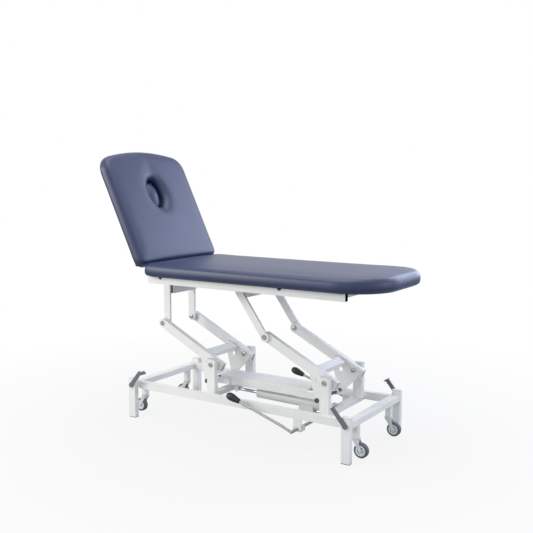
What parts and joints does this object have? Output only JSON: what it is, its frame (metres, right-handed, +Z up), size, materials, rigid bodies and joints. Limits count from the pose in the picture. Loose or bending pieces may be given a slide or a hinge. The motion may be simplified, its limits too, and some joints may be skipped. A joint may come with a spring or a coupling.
{
  "type": "treatment table",
  "caption": "Height-adjustable treatment table with a long seat pad and a raised head section with a face hole, on a foot-pumped lift",
  "frame": {"origin": "on the floor, under the middle of the table's bounding box", "axes": "+X to the foot end, +Y to the far side, +Z up"},
  "size_m": [1.5778, 0.62, 1.3502],
  "materials": {
    "frame_paint": "white powder coat, slightly satin",
    "cap_white": "moulded white end caps",
    "cap_dark": "moulded dark inserts and caps",
    "zinc_bolt": "zinc-plated fasteners",
    "dark_steel": "grey coated levers and bolts",
    "bush_nylon": "moulded nylon bushes",
    "ram_paint": "white painted ram and pump",
    "rod_chrome": "hard-chromed rod",
    "pump_rod": "zinc-plated round bar",
    "grip_black": "moulded black grips",
    "castor_zinc": "bright zinc-plated pressings",
    "castor_hub": "moulded wheel centre",
    "castor_tyre": "grey non-marking tyre",
    "vinyl_navy": "soft grained vinyl upholstery",
    "plywood": "birch plywood board"
  },
  "bodies": {
    "base": {"base_legs": "frame_paint", "leg_caps": "cap_white", "leg_glides": "cap_dark", "base_end_rails": "frame_paint", "base_side_rails": "frame_paint", "base_cross_members": "frame_paint", "pivot_posts": "frame_paint", "post_caps": "cap_dark", "lower_pivot_bolts": "zinc_bolt", "pedal_axle_bushes": "bush_nylon", "pump_bearings": "frame_paint", "ram_rear_clevis": "frame_paint"},
    "head_arm": {"head_arms": "frame_paint", "head_arm_bushes": "bush_nylon", "head_crank_plates": "frame_paint", "head_crank_shaft": "dark_steel"},
    "foot_arm": {"foot_arms": "frame_paint", "foot_arm_bushes": "bush_nylon", "foot_crank_plates": "frame_paint", "foot_crank_shaft": "dark_steel"},
    "tie_beam": {"tie_beam_channel": "frame_paint", "tie_beam_lugs": "frame_paint"},
    "ram_barrel": {"ram_cylinder": "ram_paint", "pump_body": "ram_paint"},
    "ram_piston": {"ram_rod": "rod_chrome"},
    "plunger": {"pump_plunger": "rod_chrome"},
    "pump_pedal": {"pump_bar": "pump_rod", "pump_grips": "grip_black"},
    "top_frame": {"top_frame_rails": "frame_paint", "top_frame_cross_members": "frame_paint", "rail_plugs": "cap_dark", "head_uprights": "frame_paint", "foot_uprights": "frame_paint", "upper_pivot_bolts": "zinc_bolt", "gas_strut_barrel": "cap_dark", "seat_board": "plywood", "seat_cushion": "vinyl_navy"},
    "head_section": {"head_cushion": "vinyl_navy", "head_board": "plywood", "head_frame_tubes": "frame_paint", "head_hinge_shaft": "zinc_bolt"},
    "strut_rod": {"gas_strut_rod": "rod_chrome"},
    "face_plug": {"face_hole_plug": "vinyl_navy"},
    "head_lift_pedal": {"head_pedal_axle": "dark_steel"},
    "foot_lift_pedal": {"foot_pedal_axle": "dark_steel"},
    "head_stems": {"head_castor_stems": "castor_zinc"},
    "foot_stems": {"foot_castor_stems": "castor_zinc"},
    "head_near_swivel": {"head_near_castor_fork": "castor_zinc"},
    "head_near_wheel": {"head_near_castor_hub": "castor_hub", "head_near_castor_tyre": "castor_tyre"},
    "head_far_swivel": {"head_far_castor_fork": "castor_zinc"},
    "head_far_wheel": {"head_far_castor_hub": "castor_hub", "head_far_castor_tyre": "castor_tyre"},
    "foot_near_swivel": {"foot_near_castor_fork": "castor_zinc"},
    "foot_near_wheel": {"foot_near_castor_hub": "castor_hub", "foot_near_castor_tyre": "castor_tyre"},
    "foot_far_swivel": {"foot_far_castor_fork": "castor_zinc"},
    "foot_far_wheel": {"foot_far_castor_hub": "castor_hub", "foot_far_castor_tyre": "castor_tyre"}
  },
  "joints": [
    {"name": "lift", "type": "hinge", "parent": "base", "child": "head_arm", "pos_m": [-0.15874, 0, 0.3107], "axis": [0, 1, 0], "range_deg": [-50, 17.5]},
    {"name": "top_level", "type": "hinge", "parent": "head_arm", "child": "top_frame", "pos_m": [-0.49194, 0, 0.4761], "axis": [0, 1, 0], "range_deg": [-18.5, 51]},
    {"name": "foot_arm_turn", "type": "hinge", "parent": "base", "child": "foot_arm", "pos_m": [0.47046, 0, 0.3107], "axis": [0, 1, 0], "range_deg": [-51, 18.5]},
    {"name": "tie_beam_turn", "type": "hinge", "parent": "head_arm", "child": "tie_beam", "pos_m": [-0.22875, 0, 0.20666], "axis": [0, 1, 0], "range_deg": [-18.5, 51]},
    {"name": "ram_turn", "type": "hinge", "parent": "base", "child": "ram_barrel", "pos_m": [0.41386, 0, 0.15], "axis": [0, 1, 0], "range_deg": [-5, 3]},
    {"name": "ram_rod_turn", "type": "hinge", "parent": "tie_beam", "child": "ram_piston", "pos_m": [-0.11914, 0, 0.158], "axis": [0, 1, 0], "range_deg": [-5, 3]},
    {"name": "pump_pedal_turn", "type": "hinge", "parent": "base", "child": "pump_pedal", "pos_m": [0.36886, 0, 0.1], "axis": [0, 1, 0], "range_deg": [-25, 10], "stiffness_Nm_per_rad": 40, "springref_deg": 4.01},
    {"name": "plunger_push", "type": "slide", "parent": "ram_barrel", "child": "plunger", "axis": [0.9999, 0, -0.015], "range_m": [-0.0065, 0.003]},
    {"name": "head_raise", "type": "hinge", "parent": "top_frame", "child": "head_section", "pos_m": [-0.49364, 0, 0.762], "axis": [0, 1, 0], "range_deg": [-78, 3]},
    {"name": "strut_rod_turn", "type": "hinge", "parent": "head_section", "child": "strut_rod", "pos_m": [-0.52676, 0, 0.72322], "axis": [0, 1, 0], "range_deg": [-4, 79]},
    {"name": "plug_lift_out", "type": "slide", "parent": "head_section", "child": "face_plug", "axis": [0.8988, 0, 0.4384], "range_m": [0, 0.09]},
    {"name": "head_castor_pedal", "type": "hinge", "parent": "base", "child": "head_lift_pedal", "pos_m": [-0.58964, 0, 0.168], "axis": [0, -1, 0], "range_deg": [0, 80]},
    {"name": "head_castor_lift", "type": "slide", "parent": "base", "child": "head_stems", "axis": [0, 0, 1], "range_m": [-0.0102, 0]},
    {"name": "foot_castor_pedal", "type": "hinge", "parent": "base", "child": "foot_lift_pedal", "pos_m": [0.62736, 0, 0.168], "axis": [0, 1, 0], "range_deg": [0, 80]},
    {"name": "foot_castor_lift", "type": "slide", "parent": "base", "child": "foot_stems", "axis": [0, 0, 1], "range_m": [-0.0102, 0]},
    {"name": "head_near_castor_swivel", "type": "hinge", "parent": "head_stems", "child": "head_near_swivel", "pos_m": [-0.58964, -0.172, 0.097], "axis": [0, 0, 1], "continuous": true},
    {"name": "head_near_wheel_spin", "type": "hinge", "parent": "head_near_swivel", "child": "head_near_wheel", "pos_m": [-0.61664, -0.172, 0.038], "axis": [0, 1, 0], "continuous": true},
    {"name": "head_far_castor_swivel", "type": "hinge", "parent": "head_stems", "child": "head_far_swivel", "pos_m": [-0.58964, 0.172, 0.097], "axis": [0, 0, 1], "continuous": true},
    {"name": "head_far_wheel_spin", "type": "hinge", "parent": "head_far_swivel", "child": "head_far_wheel", "pos_m": [-0.61664, 0.172, 0.038], "axis": [0, 1, 0], "continuous": true},
    {"name": "foot_near_castor_swivel", "type": "hinge", "parent": "foot_stems", "child": "foot_near_swivel", "pos_m": [0.62736, -0.172, 0.097], "axis": [0, 0, 1], "continuous": true},
    {"name": "foot_near_wheel_spin", "type": "hinge", "parent": "foot_near_swivel", "child": "foot_near_wheel", "pos_m": [0.65436, -0.172, 0.038], "axis": [0, 1, 0], "continuous": true},
    {"name": "foot_far_castor_swivel", "type": "hinge", "parent": "foot_stems", "child": "foot_far_swivel", "pos_m": [0.62736, 0.172, 0.097], "axis": [0, 0, 1], "continuous": true},
    {"name": "foot_far_wheel_spin", "type": "hinge", "parent": "foot_far_swivel", "child": "foot_far_wheel", "pos_m": [0.65436, 0.172, 0.038], "axis": [0, 1, 0], "continuous": true}
  ],
  "couplings": [
    {"joint": "top_level", "follows": "lift", "ratio": -1},
    {"joint": "foot_arm_turn", "follows": "lift", "ratio": 1},
    {"joint": "tie_beam_turn", "follows": "lift", "ratio": -1},
    {"joint": "ram_turn", "follows": "lift", "ratio": 0.073},
    {"joint": "ram_rod_turn", "follows": "lift", "ratio": 0.073},
    {"joint": "plunger_push", "follows": "pump_pedal_turn", "m_per_rad": 0.013751},
    {"joint": "strut_rod_turn", "follows": "head_raise", "ratio": -1},
    {"joint": "head_castor_lift", "follows": "head_castor_pedal", "m_per_rad": -0.007162},
    {"joint": "foot_castor_lift", "follows": "foot_castor_pedal", "m_per_rad": -0.007162}
  ]
}
